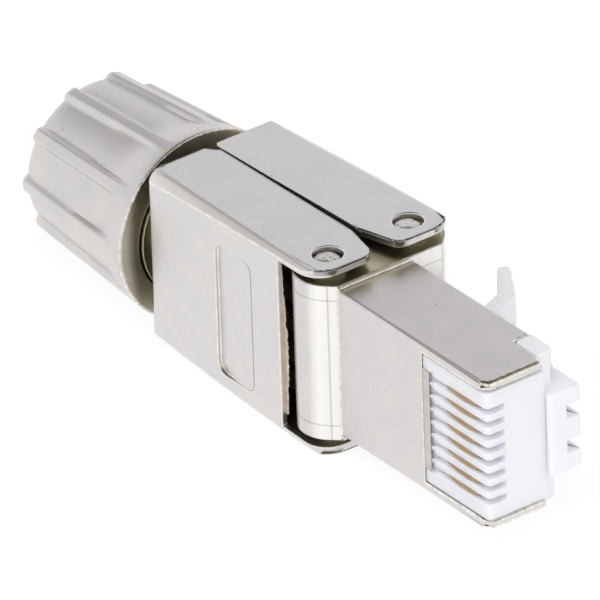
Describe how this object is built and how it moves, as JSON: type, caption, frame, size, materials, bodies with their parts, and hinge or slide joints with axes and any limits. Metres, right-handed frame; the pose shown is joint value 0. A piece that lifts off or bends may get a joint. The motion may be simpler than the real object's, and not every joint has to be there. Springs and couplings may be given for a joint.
{
  "type": "shielded ethernet plug",
  "caption": "Field-terminable shielded modular plug: die-cast nose and hinged doors, white contact insert with a springy latch, and a ribbed cap nut that clamps the cable.",
  "frame": {"origin": "centre of the plug's front face, on the nose's centre line", "axes": "+X out of the nose, towards the jack; -Y the contact side; +Y the latch side; +Z along the plug's width"},
  "size_m": [0.0508, 0.0182, 0.0146],
  "materials": {
    "satin_nickel_casting": "nickel-plated die casting, satin",
    "turned_nickel": "nickel-plated, turned, satin",
    "pin_steel": "ground",
    "white_plastic": "moulded",
    "insert_plastic": "moulded",
    "gold_plating": "plated",
    "board_laminate": "solder mask",
    "terminal_bronze": "tinned",
    "dark_plastic": "moulded"
  },
  "bodies": {
    "plug_body": {"plug_frame": "satin_nickel_casting", "contact_carrier": "insert_plastic", "contact_1": "gold_plating", "contact_2": "gold_plating", "contact_3": "gold_plating", "contact_4": "gold_plating", "contact_5": "gold_plating", "contact_6": "gold_plating", "contact_7": "gold_plating", "contact_8": "gold_plating", "circuit_board": "board_laminate", "idc_block": "dark_plastic", "idc_1": "terminal_bronze", "idc_2": "terminal_bronze", "idc_3": "terminal_bronze", "idc_4": "terminal_bronze", "idc_5": "terminal_bronze", "idc_6": "terminal_bronze", "idc_7": "terminal_bronze", "idc_8": "terminal_bronze", "wire_manager": "dark_plastic", "latch_mount": "white_plastic", "contact_side_pin": "pin_steel", "latch_side_pin": "pin_steel", "clamp_sleeve": "turned_nickel"},
    "contact_door": {"contact_side_door": "satin_nickel_casting"},
    "latch_door": {"latch_side_door": "satin_nickel_casting"},
    "latch": {"latch_lever": "white_plastic"},
    "nut_ring": {"clamp_ring": "pin_steel"},
    "nut": {"cap_nut": "turned_nickel"}
  },
  "joints": [
    {"name": "contact_side_hinge", "type": "hinge", "parent": "plug_body", "child": "contact_door", "pos_m": [-0.01895, -0.0022, 0], "axis": [0, 0, 1], "range_deg": [0, 100]},
    {"name": "latch_side_hinge", "type": "hinge", "parent": "plug_body", "child": "latch_door", "pos_m": [-0.01895, 0.00475, 0], "axis": [0, 0, -1], "range_deg": [0, 45]},
    {"name": "latch_flex", "type": "hinge", "parent": "plug_body", "child": "latch", "pos_m": [-0.00245, 0.00345, 0], "axis": [0, 0, 1], "range_deg": [0, 11], "stiffness_Nm_per_rad": 0.06},
    {"name": "nut_travel", "type": "slide", "parent": "plug_body", "child": "nut_ring", "axis": [-1, 0, 0], "range_m": [0, 0.00451]},
    {"name": "nut_turn", "type": "hinge", "parent": "nut_ring", "child": "nut", "pos_m": [-0.0377, 0.00095, 0], "axis": [-1, 0, 0], "range_deg": [0, 1620]}
  ],
  "couplings": [
    {"joint": "nut_travel", "follows": "nut_turn", "m_per_rad": 0.00015915}
  ]
}
